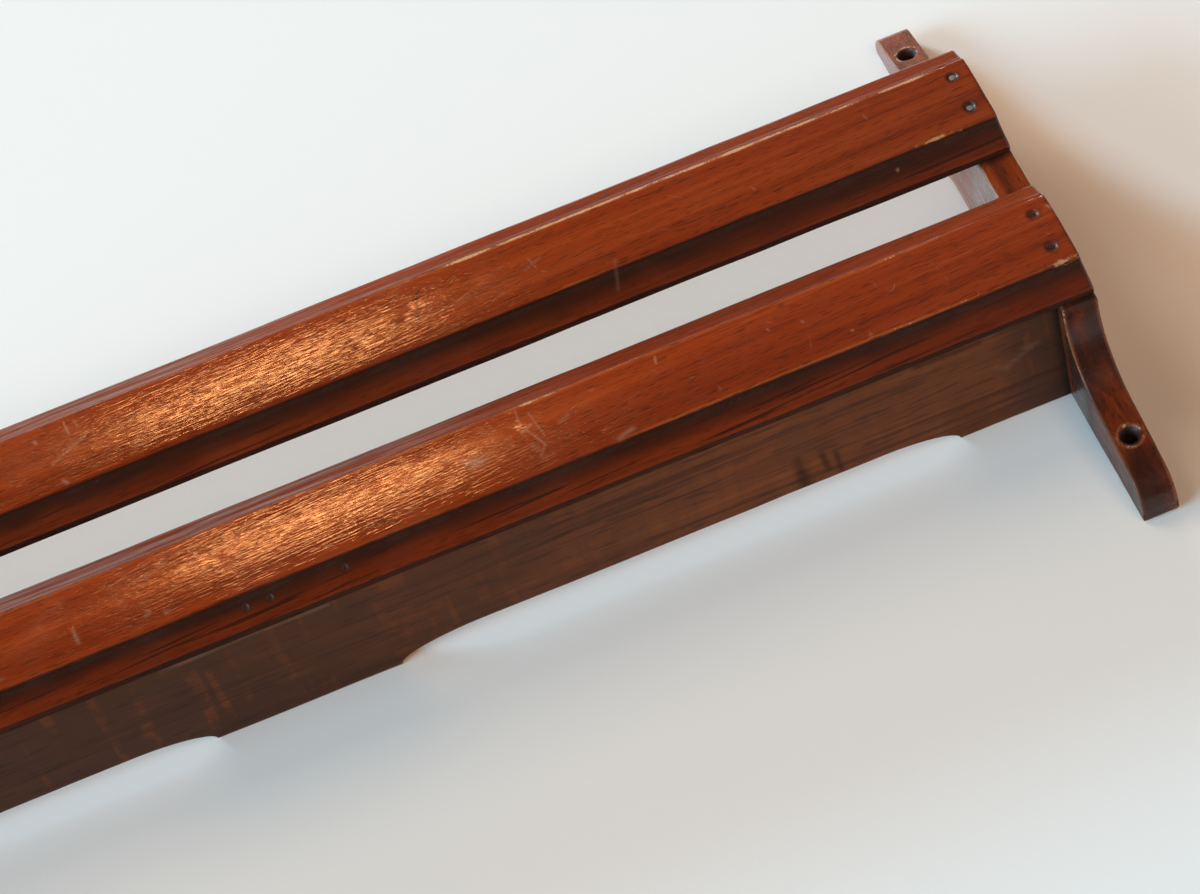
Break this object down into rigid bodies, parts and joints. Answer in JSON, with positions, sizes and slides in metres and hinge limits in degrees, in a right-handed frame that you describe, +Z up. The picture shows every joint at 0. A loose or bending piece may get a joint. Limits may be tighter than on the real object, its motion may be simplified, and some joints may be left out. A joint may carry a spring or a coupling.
{
  "type": "hymnal rack",
  "caption": "Wall-hung wooden book rack for a pew back: moulded rails across scroll-sawn end brackets, with a shelf board below and countersunk screw holes in the ears.",
  "frame": {"origin": "middle of the four screw holes, on the pew-back plane", "axes": "+X along the rails, +Y into the pew back, +Z up as hung; the front faces -Y"},
  "size_m": [0.6096, 0.0641, 0.2527],
  "materials": {
    "rail_wood": "old red-brown varnish over open-grained wood, worn pale on the ridges",
    "bracket_wood": "dark red-brown varnish, glossy on the flat sides",
    "shelf_wood": "dull dark brown varnish with cross-banded figure",
    "nail_iron": "dark oxidised cut nails with a worn glint"
  },
  "bodies": {
    "root": {"upper_rail": "rail_wood", "lower_rail": "rail_wood", "bottom_shelf": "shelf_wood", "left_end_bracket": "bracket_wood", "right_end_bracket": "bracket_wood", "upper_rail_nail_left_high": "nail_iron", "upper_rail_nail_left_low": "nail_iron", "upper_rail_nail_right_high": "nail_iron", "upper_rail_nail_right_low": "nail_iron", "lower_rail_nail_left_high": "nail_iron", "lower_rail_nail_left_low": "nail_iron", "lower_rail_nail_right_high": "nail_iron", "lower_rail_nail_right_low": "nail_iron", "shelf_nail_left_front": "nail_iron", "shelf_nail_left_back": "nail_iron", "shelf_nail_right_front": "nail_iron", "shelf_nail_right_back": "nail_iron", "shelf_brad_1": "nail_iron", "shelf_brad_2": "nail_iron", "shelf_brad_3": "nail_iron"}
  },
  "joints": []
}
